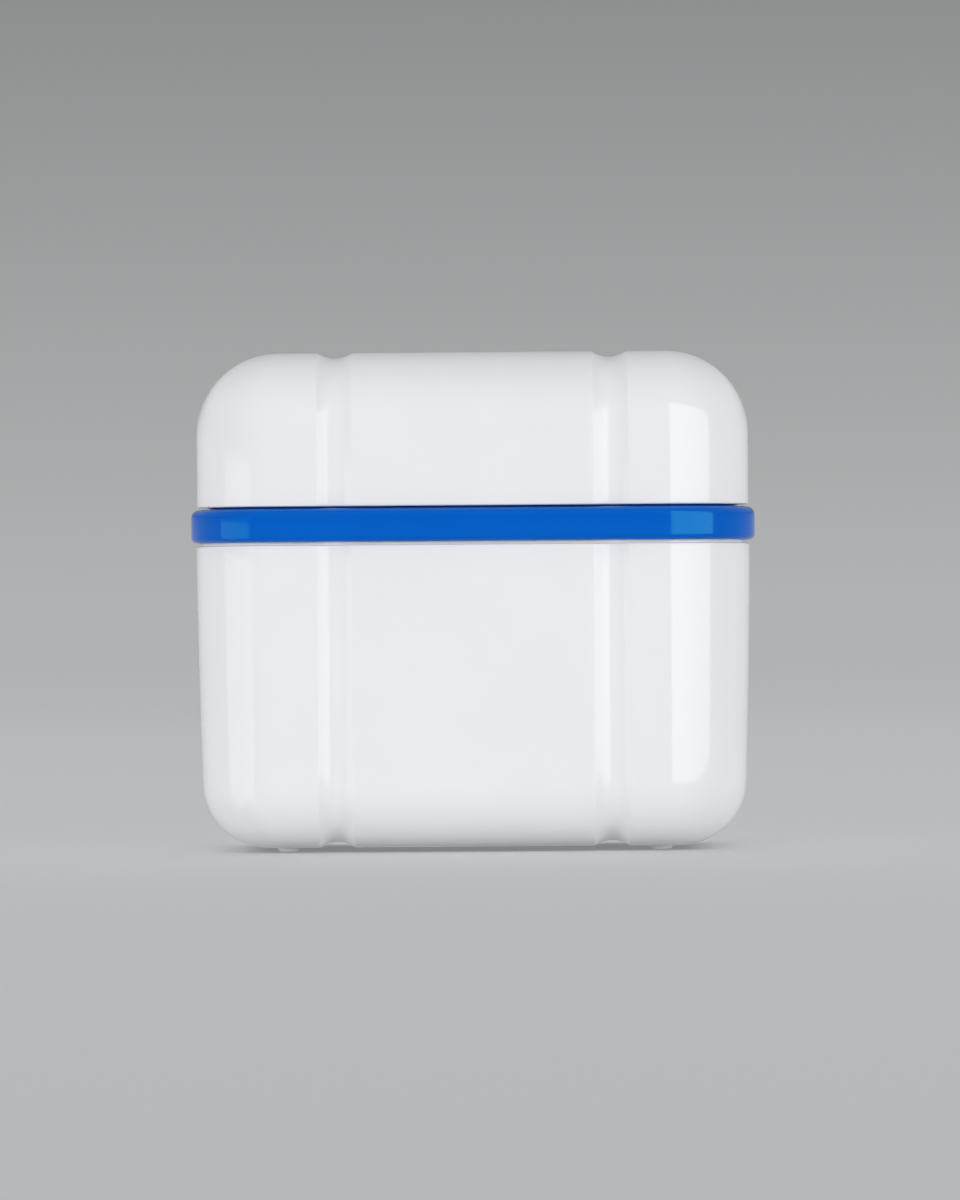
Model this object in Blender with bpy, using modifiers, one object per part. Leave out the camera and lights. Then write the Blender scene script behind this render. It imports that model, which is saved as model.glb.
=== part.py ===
"""Mouthguard case: a white tub on four feet, a blue plug-in frame that carries the drain basket
and the hinge, a white lid, and the two-layer mouthguard that stands in the basket.

Metres, +Z up, with the front towards -Y. The origin is on the floor under the middle of the whole
object, hinge included. Shapes are drawn about the case's own middle, and the empty case_middle
carries them all to their place.
"""
import math

import bmesh
import bpy
from mathutils import Matrix, Vector

MM = 0.001
GAP = 0.3 * MM  # clearance between pieces that touch
MERGE = 0.003 * MM  # points nearer than this are one point
PAST = 1.0 * MM  # how far a cutter runs on past the face that it cuts
SHARP = math.radians(35)  # edges that turn more than this stay crisp

# The case outline where the tub meets the frame. Every other outline is this one, moved in or out.
WIDTH = 85.0 * MM
DEPTH = 44.0 * MM
CORNER = 13.0 * MM
WALL = 2.0 * MM
CORNER_STEPS = 8
WALL_STEPS = 4  # courses of points up the tub's wall

# Heights above the floor
STAND = 0.65 * MM  # the feet lift the tub this far
TUB_TOP = STAND + 46.3 * MM
FRAME_LOW = TUB_TOP + 0.45 * MM
FRAME_TOP = FRAME_LOW + 5.1 * MM
LID_LOW = FRAME_TOP + GAP
LID_TOP = LID_LOW + 23.8 * MM

# Tub and lid
TUB_FILLET = 10.0 * MM
LID_FILLET = 12.0 * MM
LID_INSET = 0.15 * MM
FILLET_STEPS = 6
TAPER = 0.010  # the tub narrows by this share of the depth below its rim
BULGE = 0.28 / MM / 1000  # and by this times that depth squared, so that its walls bow outwards
LIP_OUT = -0.9 * MM
LIP_IN = -1.9 * MM
LIP_RISE = 1.25 * MM
LIP_ROOT = 0.5 * MM
LIP_CHAMFER = 0.3 * MM

# Two grooves run round the case from front to back
GROOVE_X = 21.0 * MM
GROOVE_RADIUS = 4.5 * MM
GROOVE_DEPTH = 0.82 * MM
GROOVE_FACETS = 12
TUB_GROOVE_STEPS = 8
LID_GROOVE_STEPS = 9

# Frame: distances are from the case outline, outwards
BAND_OUT = 0.8 * MM
BAND_ROUND = 1.0 * MM
BAND_STEPS = 4
TONGUE_OUT = -2.45 * MM
TONGUE_IN = -3.6 * MM
TONGUE_RISE = 2.5 * MM
SKIRT_OUT = -WALL - GAP
SKIRT_IN = -4.9 * MM
SKIRT_DROP = 4.4 * MM
LEDGE_Z = FRAME_TOP - 2.3 * MM
TOP_CHANNEL_OUT = -1.1 * MM
TOP_CHANNEL_Z = FRAME_TOP - 1.2 * MM
LOW_CHANNEL_OUT = -0.6 * MM
LOW_CHANNEL_Z = FRAME_LOW + 2.0 * MM
LID_SEAL_IN = -2.1 * MM
FRAME_CHAMFER = 0.4 * MM

# Drain basket
BASKET_OUT = SKIRT_IN - GAP
BASKET_WALL = 1.2 * MM
BASKET_LOW = 7.5 * MM
BASKET_TOP = LEDGE_Z + GAP + BASKET_WALL
BASKET_FILLET = 5.0 * MM
BASKET_TAPER = 0.015
SLOT_WIDTH = 3.0 * MM
SLOT_PITCH = 7.0 * MM
WALL_SLOT_LENGTH = 24.0 * MM
WALL_SLOT_Z = 29.0 * MM
FLOOR_SLOT_LENGTH = 17.0 * MM
SLOTS_ACROSS = 8
SIDE_SLOTS = 3
SLOT_ROUND = 0.98  # the slots' end radius, as a share of half their width
FLANGE_STEP = 0.1 * MM
FLANGE_ROOT = 0.6 * MM

# Hinge behind the rear wall
BARREL_RADIUS = 1.8 * MM
BORE_RADIUS = 1.05 * MM
PIN_RADIUS = 0.75 * MM
LID_BARREL_HALF = 8.0 * MM
HINGE_HALF = 15.0 * MM
BARREL_SIDES = 20
PIN_SIDES = 16
FRAME_ARM_ROOT = 1.0 * MM
FRAME_ARM_DROP = 2.4 * MM
LID_ARM_ROOT = 1.5 * MM
LID_ARM_RISE = 1.6 * MM
HINGE_Y = DEPTH / 2 + 0.35 * MM + BARREL_RADIUS
HINGE_Z = (FRAME_TOP + LID_LOW) / 2
CASE_Y = (DEPTH / 2 + BAND_OUT - HINGE_Y - BARREL_RADIUS) / 2  # makes room for the hinge behind

# Feet
FOOT_X = 28.7 * MM
FOOT_Y = 8.6 * MM
FOOT_RADIUS = 1.7 * MM
FOOT_STEM_RADIUS = 1.0 * MM
FOOT_HEAD = 0.85 * MM
FOOT_STEM_TOP = 1.6 * MM
FOOT_EDGE = 0.45 * MM
FOOT_EDGE_STEPS = 3
FOOT_SIDES = 16
STEM_SOCKET_SIDES = 12

# Mouthguard: an elliptical arch that stands on its front, with its channel open to the front wall
ARCH_HALF_WIDTH = 24.3 * MM
ARCH_LENGTH = 39.0 * MM
ARCH_STEPS = 28
GUARD_WIDTH = 13.0 * MM  # across the channel at the back teeth, walls included
FRONT_NARROWING = 2.4 * MM
GUARD_OUTER_HEIGHT = 23.0 * MM
GUARD_INNER_HEIGHT = 15.0 * MM
FRONT_INNER_RISE = 2.0 * MM
SHELL_WALL = 1.5 * MM
LINER_WALL = 1.4 * MM
GUARD_LOW = BASKET_LOW + BASKET_WALL + GAP


def clear_scene():
    """Remove what the file holds."""
    for existing in list(bpy.data.objects):
        bpy.data.objects.remove(existing, do_unlink=True)


def make_collection(name):
    """Return a new collection in the scene."""
    collection = bpy.data.collections.new(name)
    bpy.context.scene.collection.children.link(collection)
    return collection


def make_material(name, colour, roughness, metallic=0.0):
    """Return a plain Principled material."""
    material = bpy.data.materials.new(name)
    material.use_nodes = True
    shader = material.node_tree.nodes["Principled BSDF"]
    shader.inputs["Base Color"].default_value = (*colour, 1.0)
    shader.inputs["Roughness"].default_value = roughness
    shader.inputs["Metallic"].default_value = metallic
    return material


def add_object(name, bm, material=None):
    """Turn a bmesh into an object, in the case collection or among the cutters."""
    bmesh.ops.recalc_face_normals(bm, faces=bm.faces)
    mesh = bpy.data.meshes.new(name)
    bm.to_mesh(mesh)
    bm.free()
    mesh.shade_smooth()
    mesh.set_sharp_from_angle(angle=SHARP)
    thing = bpy.data.objects.new(name, mesh)
    thing.parent = CASE_MIDDLE
    if material:
        mesh.materials.append(material)
        CASE.objects.link(thing)
    else:
        thing.hide_render = True
        thing.display_type = "WIRE"
        CUTTERS.objects.link(thing)
    return thing


def add_empty(name, location, parent=None):
    """Add an empty that carries other objects."""
    empty = bpy.data.objects.new(name, None)
    empty.location = location
    empty.parent = parent
    CASE.objects.link(empty)
    return empty


def add_boolean(target, tool, operation):
    """Cut or join one object with another."""
    modifier = target.modifiers.new(f"{operation.lower()}_{tool.name}", "BOOLEAN")
    modifier.operation = operation
    modifier.solver = "EXACT"
    modifier.object = tool


def add_solidify(target, thickness):
    """Give an open surface a wall that grows inwards."""
    modifier = target.modifiers.new("wall", "SOLIDIFY")
    modifier.thickness = thickness
    modifier.offset = -1.0
    modifier.use_even_offset = True


def add_block(bm, low, high):
    """Add a box between two corners."""
    low = Vector(low)
    high = Vector(high)
    matrix = Matrix.Translation((low + high) / 2) @ Matrix.Diagonal((*(high - low), 1.0))
    bmesh.ops.create_cube(bm, size=1.0, matrix=matrix)


def add_bar(bm, radius, start, end, sides):
    """Add a closed cylinder between two points."""
    start = Vector(start)
    end = Vector(end)
    turn = (end - start).to_track_quat("Z", "Y").to_matrix().to_4x4()
    matrix = Matrix.Translation((start + end) / 2) @ turn
    bmesh.ops.create_cone(bm, cap_ends=True, segments=sides, radius1=radius, radius2=radius,
                          depth=(end - start).length, matrix=matrix)


def rounded_box(outset, low, high, fillet, fillet_z):
    """Return a box on the case outline, with round upright edges and a fillet round the face at fillet_z."""
    bm = bmesh.new()
    half_x = WIDTH / 2 + outset
    half_y = DEPTH / 2 + outset
    add_block(bm, (-half_x, -half_y, low), (half_x, half_y, high))
    upright = [edge for edge in bm.edges if abs(edge.verts[0].co.z - edge.verts[1].co.z) > GAP]
    bmesh.ops.bevel(bm, geom=upright, offset=CORNER + outset, segments=CORNER_STEPS,
                    profile=0.5, affect="EDGES", clamp_overlap=False)
    rim = [edge for edge in bm.edges if all(abs(vert.co.z - fillet_z) < MERGE for vert in edge.verts)]
    bmesh.ops.bevel(bm, geom=rim, offset=fillet, segments=FILLET_STEPS,
                    profile=0.5, affect="EDGES", clamp_overlap=False)
    return bm


def delete_face_at(bm, height):
    """Open a box at its flat face at one height."""
    faces = [face for face in bm.faces if all(abs(vert.co.z - height) < MERGE for vert in face.verts)]
    bmesh.ops.delete(bm, geom=faces, context="FACES")


def narrow_downwards(bm, rim, inset):
    """Move each point in towards the middle by inset(depth below the rim)."""
    for vert in bm.verts:
        share = inset(max(rim - vert.co.z, 0.0))
        vert.co.x *= 1 - share / (WIDTH / 2)
        vert.co.y *= 1 - share / (DEPTH / 2)


def tub_inset(depth):
    """How far the tub's walls have come in at a depth below its rim."""
    return TAPER * depth + BULGE * depth ** 2


def basket_inset(depth):
    """How far the basket's walls have come in at a depth below its rim."""
    return BASKET_TAPER * depth


def ring(section):
    """Sweep a closed section of (distance from the outline, height) points round the case."""
    bm = bmesh.new()
    straight_x = WIDTH - 2 * CORNER
    straight_y = DEPTH - 2 * CORNER
    front = -DEPTH / 2
    points = [bm.verts.new((0.0, front - outset, height)) for outset, height in section]
    edges = [bm.edges.new((points[i - 1], points[i])) for i in range(len(points))]
    directions = ((1, 0), (0, 1), (-1, 0), (0, -1))
    centres = ((1, -1), (1, 1), (-1, 1), (-1, -1))
    for turn, (direction, centre) in enumerate(zip(directions, centres)):
        length = straight_x if turn % 2 == 0 else straight_y
        if turn == 0:
            length /= 2
        edges = extrude_edges(bm, edges, Vector((*direction, 0)) * length)
        middle = (centre[0] * straight_x / 2, centre[1] * straight_y / 2, 0.0)
        result = bmesh.ops.spin(bm, geom=edges, cent=middle, axis=(0, 0, 1),
                                angle=math.radians(90), steps=CORNER_STEPS)
        edges = [item for item in result["geom_last"] if isinstance(item, bmesh.types.BMEdge)]
    extrude_edges(bm, edges, Vector((straight_x / 2, 0, 0)))
    bmesh.ops.remove_doubles(bm, verts=bm.verts, dist=MERGE)
    return bm


def extrude_edges(bm, edges, offset):
    """Extrude edges along a vector and return the new ones."""
    result = bmesh.ops.extrude_edge_only(bm, edges=edges)
    verts = [item for item in result["geom"] if isinstance(item, bmesh.types.BMVert)]
    bmesh.ops.translate(bm, verts=verts, vec=offset)
    return [item for item in result["geom"] if isinstance(item, bmesh.types.BMEdge)
            and all(vert in verts for vert in item.verts)]


def arc(centre, radius, start, end, steps):
    """Return points on an arc, with angles in degrees."""
    angles = [math.radians(start + (end - start) * i / steps) for i in range(steps + 1)]
    return [(centre[0] + radius * math.cos(angle), centre[1] + radius * math.sin(angle)) for angle in angles]


def groove_path():
    """Return the (y, z) loop that the groove's centre line follows round the case, from front to back."""
    clear = GROOVE_RADIUS - GROOVE_DEPTH
    low = STAND + TUB_FILLET
    foot_inset = tub_inset(TUB_TOP - low)
    heights = [low + (TUB_TOP - low) * i / WALL_STEPS for i in range(1, WALL_STEPS + 1)]
    wall = [(DEPTH / 2 - tub_inset(TUB_TOP - height) + clear, height) for height in heights]
    bottom_centre = (DEPTH / 2 - foot_inset - TUB_FILLET, low)
    top_centre = (DEPTH / 2 - LID_INSET - LID_FILLET, LID_TOP - LID_FILLET)
    rear = arc(bottom_centre, TUB_FILLET + clear, -90, 0, TUB_GROOVE_STEPS) + wall
    rear += [(DEPTH / 2 - LID_INSET + clear, LID_LOW)]
    rear += arc(top_centre, LID_FILLET + clear, 0, 90, LID_GROOVE_STEPS)
    front = [(-y, z) for y, z in reversed(rear)]
    return rear + front


def make_groove_cutter():
    """Return the two round bars that cut the grooves into the tub and the lid."""
    curve = bpy.data.curves.new("grooves", "CURVE")
    curve.dimensions = "3D"
    curve.bevel_depth = GROOVE_RADIUS
    curve.bevel_resolution = GROOVE_FACETS
    path = groove_path()
    for x in (-GROOVE_X, GROOVE_X):
        spline = curve.splines.new("POLY")
        spline.points.add(len(path) - 1)
        spline.use_cyclic_u = True
        for point, (y, z) in zip(spline.points, path):
            point.co = (x, y, z, 1.0)
    holder = bpy.data.objects.new("grooves", curve)
    CUTTERS.objects.link(holder)
    bpy.context.view_layer.update()
    depsgraph = bpy.context.evaluated_depsgraph_get()
    mesh = bpy.data.meshes.new_from_object(holder.evaluated_get(depsgraph))
    bpy.data.objects.remove(holder, do_unlink=True)
    bars = bmesh.new()
    bars.from_mesh(mesh)
    bmesh.ops.remove_doubles(bars, verts=bars.verts, dist=MERGE)
    return add_object("grooves", bars)


def make_tub(grooves):
    """The white tub, with the lip that the frame plugs over and the feet's sockets."""
    bm = rounded_box(0.0, STAND, TUB_TOP, TUB_FILLET, STAND)
    low = STAND + TUB_FILLET
    for i in range(1, WALL_STEPS):
        height = low + (TUB_TOP - low) * i / WALL_STEPS
        geometry = bm.verts[:] + bm.edges[:] + bm.faces[:]
        bmesh.ops.bisect_plane(bm, geom=geometry, plane_co=(0, 0, height), plane_no=(0, 0, 1))
    narrow_downwards(bm, TUB_TOP, tub_inset)
    delete_face_at(bm, TUB_TOP)
    tub = add_object("base_shell", bm, WHITE)
    add_solidify(tub, WALL)
    lip_top = TUB_TOP + LIP_RISE
    lip = [(LIP_OUT, TUB_TOP - LIP_ROOT), (LIP_OUT, lip_top - LIP_CHAMFER), (LIP_OUT - LIP_CHAMFER, lip_top),
           (LIP_IN, lip_top), (LIP_IN, TUB_TOP - LIP_ROOT)]
    add_boolean(tub, add_object("lip", ring(lip)), "UNION")
    heads = bmesh.new()
    stems = bmesh.new()
    for x, y in FOOT_PLACES.values():
        add_bar(heads, FOOT_RADIUS + GAP, (x, y, -PAST), (x, y, FOOT_HEAD + GAP), FOOT_SIDES)
        add_bar(stems, FOOT_STEM_RADIUS + GAP, (x, y, -PAST), (x, y, FOOT_STEM_TOP + GAP), STEM_SOCKET_SIDES)
    add_boolean(tub, add_object("foot_head_sockets", heads), "DIFFERENCE")
    add_boolean(tub, add_object("foot_stem_sockets", stems), "DIFFERENCE")
    add_boolean(tub, grooves, "DIFFERENCE")


def make_feet():
    """Four push-in feet, turned from one profile."""
    profile = [(0.0, FOOT_STEM_TOP), (FOOT_STEM_RADIUS, FOOT_STEM_TOP), (FOOT_STEM_RADIUS, FOOT_HEAD),
               (FOOT_RADIUS, FOOT_HEAD)]
    profile += arc((FOOT_RADIUS - FOOT_EDGE, FOOT_EDGE), FOOT_EDGE, 0, -90, FOOT_EDGE_STEPS)
    profile += [(0.0, 0.0)]
    mesh = bpy.data.meshes.new("foot")
    mesh.from_pydata([(x, 0, z) for x, z in profile], [(i, i + 1) for i in range(len(profile) - 1)], [])
    mesh.materials.append(FOOT)
    for name, (x, y) in FOOT_PLACES.items():
        foot = bpy.data.objects.new(name, mesh)
        foot.location = (x, y, 0)
        foot.parent = CASE_MIDDLE
        CASE.objects.link(foot)
        screw = foot.modifiers.new("turn", "SCREW")
        screw.steps = FOOT_SIDES
        screw.render_steps = FOOT_SIDES
        screw.use_merge_vertices = True
        screw.merge_threshold = MERGE


def make_frame():
    """The blue frame: outer band, tongue for the lid, skirt into the tub, ledge and hinge knuckles."""
    round_low = arc((BAND_OUT - BAND_ROUND, FRAME_LOW + BAND_ROUND), BAND_ROUND, -90, 0, BAND_STEPS)
    round_top = arc((BAND_OUT - BAND_ROUND, FRAME_TOP - BAND_ROUND), BAND_ROUND, 0, 90, BAND_STEPS)
    tongue_top = FRAME_TOP + TONGUE_RISE
    skirt_low = FRAME_LOW - SKIRT_DROP
    section = round_low + round_top
    section += [(TOP_CHANNEL_OUT, FRAME_TOP), (TOP_CHANNEL_OUT, TOP_CHANNEL_Z), (TONGUE_OUT, TOP_CHANNEL_Z)]
    section += [(TONGUE_OUT, tongue_top - FRAME_CHAMFER), (TONGUE_OUT - FRAME_CHAMFER, tongue_top)]
    section += [(TONGUE_IN, tongue_top), (TONGUE_IN, LEDGE_Z), (SKIRT_IN, LEDGE_Z), (SKIRT_IN, skirt_low)]
    section += [(SKIRT_OUT - FRAME_CHAMFER, skirt_low), (SKIRT_OUT, skirt_low + FRAME_CHAMFER)]
    section += [(SKIRT_OUT, LOW_CHANNEL_Z), (LOW_CHANNEL_OUT, LOW_CHANNEL_Z), (LOW_CHANNEL_OUT, FRAME_LOW)]
    frame = add_object("middle_frame", ring(section), BLUE)
    notch = bmesh.new()
    reach = LID_BARREL_HALF + GAP
    behind = DEPTH / 2 + BAND_OUT + PAST
    add_block(notch, (-reach, DEPTH / 2, FRAME_LOW - PAST), (reach, behind, FRAME_TOP + PAST))
    add_boolean(frame, add_object("hinge_notch", notch), "DIFFERENCE")
    for side in (-1, 1):
        inner = side * (LID_BARREL_HALF + GAP)
        outer = side * HINGE_HALF
        arm = bmesh.new()
        add_block(arm, (min(inner, outer), DEPTH / 2 - FRAME_ARM_ROOT, FRAME_TOP - FRAME_ARM_DROP),
                  (max(inner, outer), HINGE_Y, FRAME_TOP - GAP))
        add_boolean(frame, add_object(f"frame_arm_{side}", arm), "UNION")
        barrel = bmesh.new()
        add_bar(barrel, BARREL_RADIUS, (inner, HINGE_Y, HINGE_Z), (outer, HINGE_Y, HINGE_Z), BARREL_SIDES)
        add_boolean(frame, add_object(f"frame_barrel_{side}", barrel), "UNION")
    add_boolean(frame, make_bore("frame_bore"), "DIFFERENCE")


def make_bore(name):
    """Return the cutter for the hinge bore."""
    bore = bmesh.new()
    half = HINGE_HALF + PAST
    add_bar(bore, BORE_RADIUS, (-half, HINGE_Y, HINGE_Z), (half, HINGE_Y, HINGE_Z), BARREL_SIDES)
    return add_object(name, bore)


def make_hinge_pin():
    """The pin that the lid turns on."""
    pin = bmesh.new()
    half = HINGE_HALF - GAP
    add_bar(pin, PIN_RADIUS, (-half, HINGE_Y, HINGE_Z), (half, HINGE_Y, HINGE_Z), PIN_SIDES)
    add_object("hinge_pin", pin, STEEL)


def make_gaskets():
    """The seal under the lid's edge, and the seal over the tub's lip."""
    lid_seal = [(TOP_CHANNEL_OUT - GAP, TOP_CHANNEL_Z + GAP), (TOP_CHANNEL_OUT - GAP, FRAME_TOP),
                (LID_SEAL_IN, FRAME_TOP), (LID_SEAL_IN, TOP_CHANNEL_Z + GAP)]
    add_object("lid_gasket", ring(lid_seal), SILICONE)
    low = TUB_TOP + LIP_RISE + GAP
    tub_seal = [(LIP_OUT, low), (LIP_OUT, LOW_CHANNEL_Z - GAP), (LIP_IN, LOW_CHANNEL_Z - GAP), (LIP_IN, low)]
    add_object("base_gasket", ring(tub_seal), SILICONE)


def make_basket():
    """The drain basket that hangs in the frame, with slots through its walls and floor."""
    bm = rounded_box(BASKET_OUT, BASKET_LOW, BASKET_TOP, BASKET_FILLET, BASKET_LOW)
    narrow_downwards(bm, BASKET_TOP, basket_inset)
    delete_face_at(bm, BASKET_TOP)
    basket = add_object("drain_basket", bm, BLUE_BASKET)
    add_solidify(basket, BASKET_WALL)
    flange_low = LEDGE_Z + GAP
    flange_top = BASKET_TOP - FLANGE_STEP
    flange = [(TONGUE_IN - GAP, flange_low), (TONGUE_IN - GAP, flange_top),
              (BASKET_OUT - FLANGE_ROOT, flange_top), (BASKET_OUT - FLANGE_ROOT, flange_low)]
    add_boolean(basket, add_object("basket_flange", ring(flange)), "UNION")
    slots = bmesh.new()
    for i in range(SLOTS_ACROSS):
        x = (i - (SLOTS_ACROSS - 1) / 2) * SLOT_PITCH
        add_slot(slots, (x, 0, WALL_SLOT_Z), (SLOT_WIDTH, 2 * DEPTH, WALL_SLOT_LENGTH), "Y")
        add_slot(slots, (x, 0, BASKET_LOW), (SLOT_WIDTH, FLOOR_SLOT_LENGTH, 2 * (BASKET_WALL + PAST)), "Z")
    add_boolean(basket, add_object("basket_slots", slots), "DIFFERENCE")
    side_slots = bmesh.new()
    for i in range(SIDE_SLOTS):
        y = (i - (SIDE_SLOTS - 1) / 2) * SLOT_PITCH
        add_slot(side_slots, (0, y, WALL_SLOT_Z), (2 * WIDTH, SLOT_WIDTH, WALL_SLOT_LENGTH), "X")
    add_boolean(basket, add_object("basket_side_slots", side_slots), "DIFFERENCE")


def add_slot(bm, centre, size, along):
    """Add a bar with round ends that cuts one slot; along names the axis that it cuts through."""
    part = bmesh.new()
    half = Vector(size) / 2
    add_block(part, Vector(centre) - half, Vector(centre) + half)
    axis = "XYZ".index(along)
    long_edges = [edge for edge in part.edges
                  if abs(edge.verts[0].co[axis] - edge.verts[1].co[axis]) > GAP]
    bmesh.ops.bevel(part, geom=long_edges, offset=SLOT_WIDTH / 2 * SLOT_ROUND, segments=2,
                    profile=0.5, affect="EDGES", clamp_overlap=False)
    mesh = bpy.data.meshes.new("slot")
    part.to_mesh(mesh)
    part.free()
    bm.from_mesh(mesh)
    bpy.data.meshes.remove(mesh)


def make_lid(grooves):
    """The white lid with its hinge knuckle. The empty lid_hinge_axis, on the pin, carries it."""
    bm = rounded_box(-LID_INSET, LID_LOW, LID_TOP, LID_FILLET, LID_TOP)
    delete_face_at(bm, LID_LOW)
    lid = add_object("lid_shell", bm, WHITE)
    lid.parent = add_empty("lid_hinge_axis", (0, HINGE_Y, HINGE_Z), CASE_MIDDLE)
    lid.location = (0, -HINGE_Y, -HINGE_Z)
    add_solidify(lid, WALL)
    add_boolean(lid, grooves, "DIFFERENCE")
    arm = bmesh.new()
    add_block(arm, (-LID_BARREL_HALF, DEPTH / 2 - LID_ARM_ROOT, LID_LOW + GAP),
              (LID_BARREL_HALF, HINGE_Y, LID_LOW + LID_ARM_RISE))
    add_boolean(lid, add_object("lid_arm", arm), "UNION")
    barrel = bmesh.new()
    half = LID_BARREL_HALF - GAP / 3
    add_bar(barrel, BARREL_RADIUS, (-half, HINGE_Y, HINGE_Z), (half, HINGE_Y, HINGE_Z), BARREL_SIDES)
    add_boolean(lid, add_object("lid_barrel", barrel), "UNION")
    add_boolean(lid, make_bore("lid_bore"), "DIFFERENCE")


def trough(width, outer_height, inner_height, wall):
    """Return the section of a U-shaped trough: x across the arch, outwards, and y up from the bite plate."""
    half = width / 2
    return [(-half, 0), (half, 0), (half, outer_height), (half - wall, outer_height), (half - wall, wall),
            (-half + wall, wall), (-half + wall, inner_height), (-half, inner_height)]


def make_arch(name, inwards, lift, wall, material):
    """Loft a trough round the dental arch, narrower at the front teeth, inside the guard's own outline."""
    bm = bmesh.new()
    loops = []
    for i in range(ARCH_STEPS + 1):
        angle = math.radians(-90 + 180 * i / ARCH_STEPS)
        front = math.cos(angle) ** 2
        width = GUARD_WIDTH - FRONT_NARROWING * front - 2 * inwards
        inner_height = GUARD_INNER_HEIGHT + FRONT_INNER_RISE * front - lift - inwards / 2
        section = trough(width, GUARD_OUTER_HEIGHT - lift - inwards / 2, inner_height, wall)
        centre = Vector((ARCH_HALF_WIDTH * math.sin(angle), 0, -ARCH_LENGTH * math.cos(angle)))
        along = Vector((ARCH_HALF_WIDTH * math.cos(angle), 0, ARCH_LENGTH * math.sin(angle)))
        outwards = Vector((along.z, 0, -along.x)).normalized()
        loops.append([bm.verts.new(centre + outwards * across + Vector((0, -lift - up, 0)))
                      for across, up in section])
    for loop, following in zip(loops, loops[1:]):
        for i in range(len(loop)):
            bm.faces.new((loop[i - 1], loop[i], following[i], following[i - 1]))
    bm.faces.new(loops[0])
    bm.faces.new(loops[-1])
    top = GUARD_LOW + (GUARD_WIDTH - FRONT_NARROWING) / 2 + ARCH_LENGTH
    bmesh.ops.translate(bm, verts=bm.verts, vec=(0, GUARD_OUTER_HEIGHT / 2, top))
    add_object(name, bm, material)


clear_scene()
CASE = make_collection("mouthguard_case")
CUTTERS = make_collection("cutters")
CUTTERS.hide_render = True
CASE_MIDDLE = add_empty("case_middle", (0, CASE_Y, 0))
WHITE = make_material("white_plastic", (0.80, 0.80, 0.82), 0.18)
FOOT = make_material("foot_plastic", (0.78, 0.78, 0.79), 0.35)
BLUE = make_material("blue_plastic", (0.0, 0.12, 0.55), 0.22)
BLUE_BASKET = make_material("basket_plastic", (0.0, 0.16, 0.60), 0.3)
SILICONE = make_material("silicone", (0.62, 0.70, 0.78), 0.5)
STEEL = make_material("steel", (0.60, 0.60, 0.60), 0.3, metallic=1.0)
GUARD_BLUE = make_material("guard_shell", (0.01, 0.10, 0.42), 0.35)
GUARD_CLEAR = make_material("guard_liner", (0.75, 0.80, 0.85), 0.3)
FOOT_PLACES = {
    "foot_front_left": (-FOOT_X, -FOOT_Y),
    "foot_front_right": (FOOT_X, -FOOT_Y),
    "foot_rear_left": (-FOOT_X, FOOT_Y),
    "foot_rear_right": (FOOT_X, FOOT_Y),
}

GROOVES = make_groove_cutter()
make_tub(GROOVES)
make_feet()
make_frame()
make_gaskets()
make_basket()
make_hinge_pin()
make_lid(GROOVES)
make_arch("mouthguard_shell", 0.0, 0.0, SHELL_WALL, GUARD_BLUE)
make_arch("mouthguard_liner", SHELL_WALL + GAP, SHELL_WALL + GAP, LINER_WALL, GUARD_CLEAR)
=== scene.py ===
"""Looks for the mouthguard case: fine shells, seals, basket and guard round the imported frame.

Metres, +Z up, front towards -Y. Every place comes from the frame's own boxes.
"""
import math

import bmesh
import bpy
from mathutils import Matrix, Vector


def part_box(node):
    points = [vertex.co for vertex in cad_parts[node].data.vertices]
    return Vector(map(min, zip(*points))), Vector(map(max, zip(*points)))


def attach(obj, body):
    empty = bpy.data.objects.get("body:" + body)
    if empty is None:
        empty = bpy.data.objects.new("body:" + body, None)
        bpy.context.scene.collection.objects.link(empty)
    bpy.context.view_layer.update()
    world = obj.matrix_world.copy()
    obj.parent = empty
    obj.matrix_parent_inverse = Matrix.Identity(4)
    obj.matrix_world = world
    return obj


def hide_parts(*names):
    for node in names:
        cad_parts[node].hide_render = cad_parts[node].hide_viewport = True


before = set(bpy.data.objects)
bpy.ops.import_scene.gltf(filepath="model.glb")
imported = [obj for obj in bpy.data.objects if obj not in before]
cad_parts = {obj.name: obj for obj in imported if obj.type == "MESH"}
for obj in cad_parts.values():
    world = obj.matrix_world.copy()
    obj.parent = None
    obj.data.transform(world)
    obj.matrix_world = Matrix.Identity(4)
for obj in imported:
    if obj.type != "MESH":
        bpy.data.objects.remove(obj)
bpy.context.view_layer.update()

MM = 0.001
GAP = 0.3 * MM

# Case outline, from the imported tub, lid and frame
BASE_LOW, BASE_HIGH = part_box("base_shell")
LID_BOX_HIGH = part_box("lid_shell")[1]
BAND_BOX_LOW, BAND_BOX_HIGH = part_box("middle_frame")
BASKET_BOX_LOW, BASKET_BOX_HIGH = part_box("drain_basket")
GUARD_BOX_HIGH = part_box("mouthguard_shell")[1]
PIN_LOW, PIN_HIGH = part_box("hinge_pin")
CASE_Y = (BASE_LOW[1] + BASE_HIGH[1]) / 2
HALF_X = (BASE_HIGH[0] - BASE_LOW[0]) / 2
HALF_Y = (BASE_HIGH[1] - BASE_LOW[1]) / 2
STAND = BASE_LOW[2]
CORNER = 13.0 * MM
WALL = 2.0 * MM
LIP_RISE = 1.25 * MM
TUB_TOP = BASE_HIGH[2] - LIP_RISE
TONGUE_RISE = 2.5 * MM
FRAME_TOP = BAND_BOX_HIGH[2] - TONGUE_RISE
FRAME_LOW = FRAME_TOP - 5.1 * MM
LID_LOW = FRAME_TOP + GAP
LID_TOP = LID_BOX_HIGH[2]
TUB_FILLET = 10.0 * MM
LID_FILLET = 12.6 * MM
LID_INSET = HALF_X - LID_BOX_HIGH[0]
TAPER = 0.010
BULGE = 0.28 / MM / 1000
GROOVE_X = 21.0 * MM
GROOVE_RADIUS = 4.5 * MM
GROOVE_DEPTH = 0.82 * MM
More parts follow.
